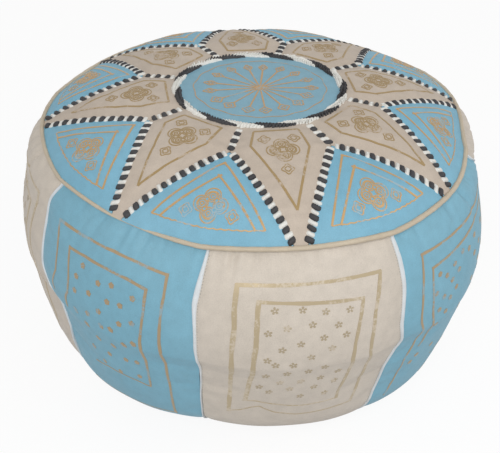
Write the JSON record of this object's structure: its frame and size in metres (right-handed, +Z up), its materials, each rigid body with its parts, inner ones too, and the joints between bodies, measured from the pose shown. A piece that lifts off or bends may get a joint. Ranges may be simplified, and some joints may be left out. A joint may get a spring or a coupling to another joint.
{
  "type": "leather pouf",
  "caption": "Round stuffed leather floor pouf with a laced star-patchwork top, puffed side panels in two colours, gold stamping and a zipped base.",
  "frame": {"origin": "centre of the base on the floor", "axes": "+Z up through the middle of the top, -Y towards the front side panel and star point, X along the base zip"},
  "size_m": [0.556, 0.556, 0.3432],
  "materials": {
    "blue_leather": "sky blue dyed goat leather, soft semi-matt grain with gold stamping",
    "cream_leather": "cream goat leather, soft semi-matt grain with gold stamping",
    "white_leather": "white leather strip, matt",
    "black_leather": "black leather strip, matt",
    "zip_cloth": "woven zip tape",
    "zip_moulding": "moulded zip teeth",
    "zip_metal": "worn brass",
    "stuffing": "loose textile stuffing"
  },
  "bodies": {
    "cover": {"star_point_1": "cream_leather", "star_point_2": "cream_leather", "star_point_3": "cream_leather", "star_point_4": "cream_leather", "star_point_5": "cream_leather", "star_point_6": "cream_leather", "star_point_7": "cream_leather", "star_point_8": "cream_leather", "rim_gore_1": "blue_leather", "rim_gore_2": "blue_leather", "rim_gore_3": "blue_leather", "rim_gore_4": "blue_leather", "rim_gore_5": "blue_leather", "rim_gore_6": "blue_leather", "rim_gore_7": "blue_leather", "rim_gore_8": "blue_leather", "side_panel_1": "cream_leather", "side_panel_2": "blue_leather", "side_panel_3": "cream_leather", "side_panel_4": "blue_leather", "side_panel_5": "cream_leather", "side_panel_6": "blue_leather", "side_panel_7": "cream_leather", "side_panel_8": "blue_leather", "side_welt_1": "white_leather", "side_welt_2": "white_leather", "side_welt_3": "white_leather", "side_welt_4": "white_leather", "side_welt_5": "white_leather", "side_welt_6": "white_leather", "side_welt_7": "white_leather", "side_welt_8": "white_leather", "medallion": "blue_leather", "medallion_braid_black": "black_leather", "medallion_braid_white": "white_leather", "star_lacing_black": "black_leather", "star_lacing_white": "white_leather", "rim_piping": "cream_leather", "base_panel_front": "cream_leather", "base_panel_back": "cream_leather", "zip_tape_front": "zip_cloth", "zip_tape_back": "zip_cloth", "zip_teeth_front": "zip_moulding", "zip_teeth_back": "zip_moulding", "zip_stops": "zip_moulding", "filling": "stuffing"},
    "slider": {"zip_slider": "zip_metal"},
    "pull": {"zip_pull": "zip_metal"}
  },
  "joints": [
    {"name": "zip_slide", "type": "slide", "parent": "cover", "child": "slider", "axis": [1, 0, 0], "range_m": [-0.2165, 0], "deforming": ["zip_teeth_front", "zip_teeth_back"]},
    {"name": "pull_swing", "type": "hinge", "parent": "slider", "child": "pull", "pos_m": [0.1081, 0, 0.0122], "axis": [0, -1, 0], "range_deg": [-34, 140]}
  ]
}
